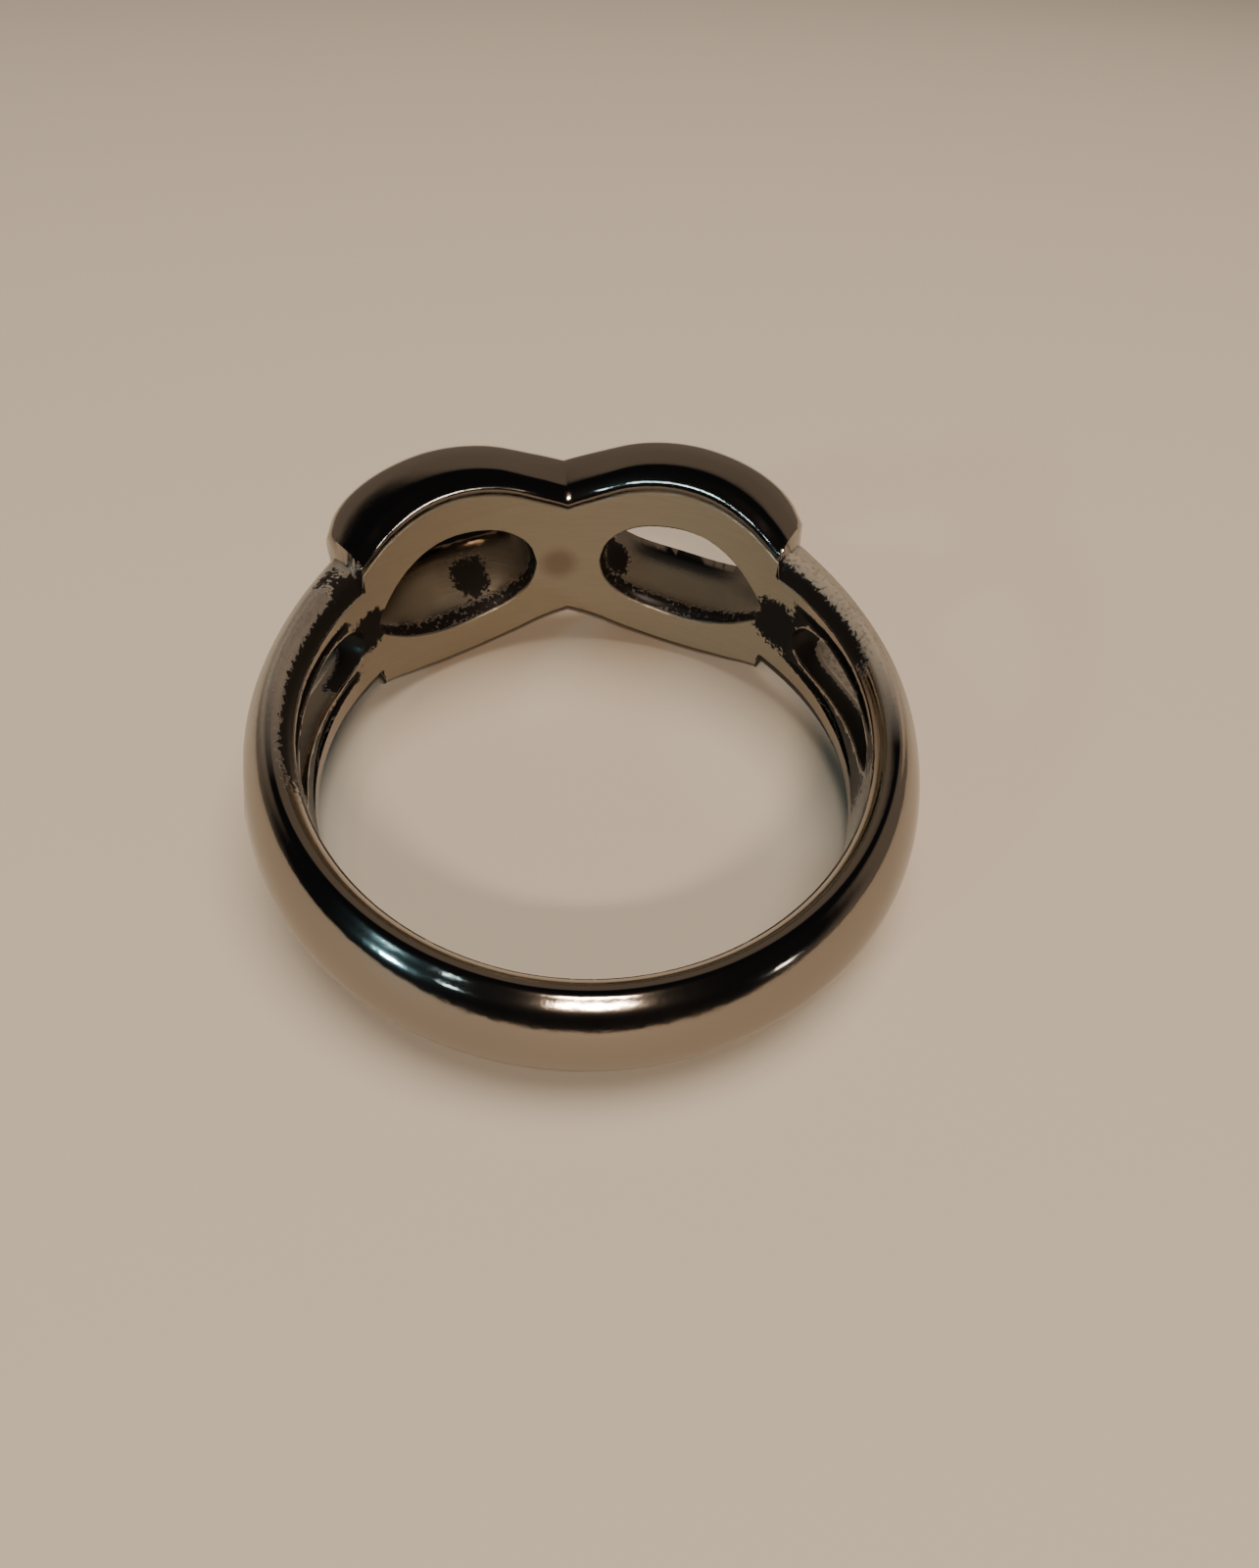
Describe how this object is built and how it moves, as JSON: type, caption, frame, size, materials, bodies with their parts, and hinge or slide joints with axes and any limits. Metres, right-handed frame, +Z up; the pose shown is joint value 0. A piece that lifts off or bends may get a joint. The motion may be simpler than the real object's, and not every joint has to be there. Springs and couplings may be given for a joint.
{
  "type": "infinity ring",
  "caption": "One-piece metal finger ring with a figure-of-eight head, open lobes, split shoulders and a rounded shank, lying on its side.",
  "frame": {"origin": "on the table under the middle of the ring's length and width, as it lies on its side", "axes": "+Z up from the table, +Y from the back of the shank toward the head, +X across the finger hole; the finger hole leans back by 7.6 degrees because the head is taller than the shank"},
  "size_m": [0.0206, 0.022, 0.0082],
  "materials": {
    "metal": "polished silver-tone metal, worn, satin inside the head, with dark specks of tarnish in the openings"
  },
  "bodies": {
    "root": {"ring": "metal"}
  },
  "joints": []
}
